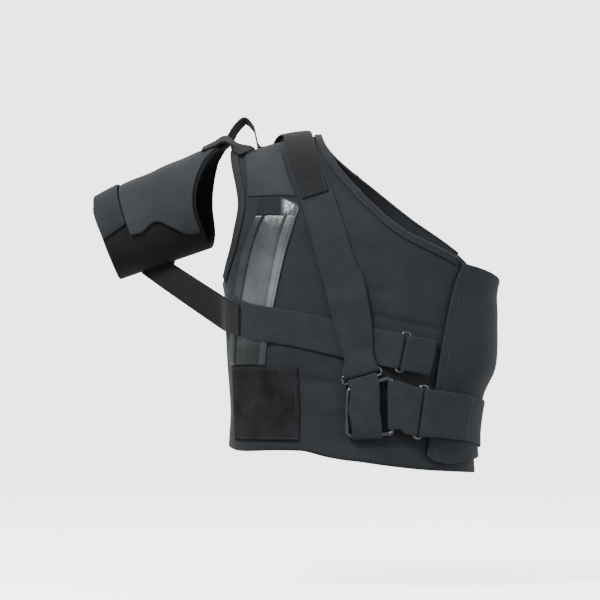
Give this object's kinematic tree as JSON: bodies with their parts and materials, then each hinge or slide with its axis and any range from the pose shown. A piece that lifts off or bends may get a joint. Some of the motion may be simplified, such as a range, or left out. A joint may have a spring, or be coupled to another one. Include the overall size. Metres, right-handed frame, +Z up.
{
  "type": "shoulder brace",
  "caption": "One-shoulder wrap vest of padded cloth with an upper-arm cuff, joined by crossing webbing straps, wire rings, a stay pocket and a side closing flap.",
  "frame": {"origin": "the point inside the vest that rests on top of the wearer's shoulder", "axes": "+X to the wearer's left, +Y to the wearer's back, +Z up along the wearer's body"},
  "size_m": [0.5692, 0.2591, 0.4976],
  "materials": {
    "vest_cloth": "laminated brushed loop cloth",
    "panel_cloth": "laminated brushed loop cloth",
    "binding_tape": "folded knitted tape",
    "webbing": "soft loop-faced webbing",
    "dark_webbing": "woven webbing",
    "hook_cloth": "short stiff hooks and knit",
    "pocket_vinyl": "smooth coated cloth",
    "pocket_trim": "smooth coated cloth, stitched",
    "ring_metal": "glossy black coating"
  },
  "bodies": {
    "root": {"vest_front": "vest_cloth", "vest_back": "vest_cloth", "side_flap": "vest_cloth", "neck_binding_front": "binding_tape", "neck_binding_back": "binding_tape", "arm_binding_front": "binding_tape", "arm_binding_back": "binding_tape", "shoulder_panel": "panel_cloth", "pocket_window": "pocket_vinyl", "pocket_trim_outer": "pocket_trim", "pocket_trim_inner": "pocket_trim", "pocket_cap": "pocket_trim", "hook_patch": "hook_cloth", "shoulder_strap": "webbing", "shoulder_tab": "dark_webbing", "shoulder_strap_ring": "ring_metal", "link_belt": "webbing", "centre_ring": "ring_metal", "arm_strap": "webbing", "arm_strap_ring": "ring_metal", "arm_ring_tab": "webbing", "waist_ring_belt": "webbing", "waist_strap_ring": "ring_metal", "waist_strap": "webbing", "cuff_sleeve": "hook_cloth", "cuff_flap": "panel_cloth", "cuff_band": "webbing", "cuff_pull_strap": "dark_webbing", "shoulder_joint": "binding_tape", "slack_loop": "webbing"}
  },
  "joints": []
}
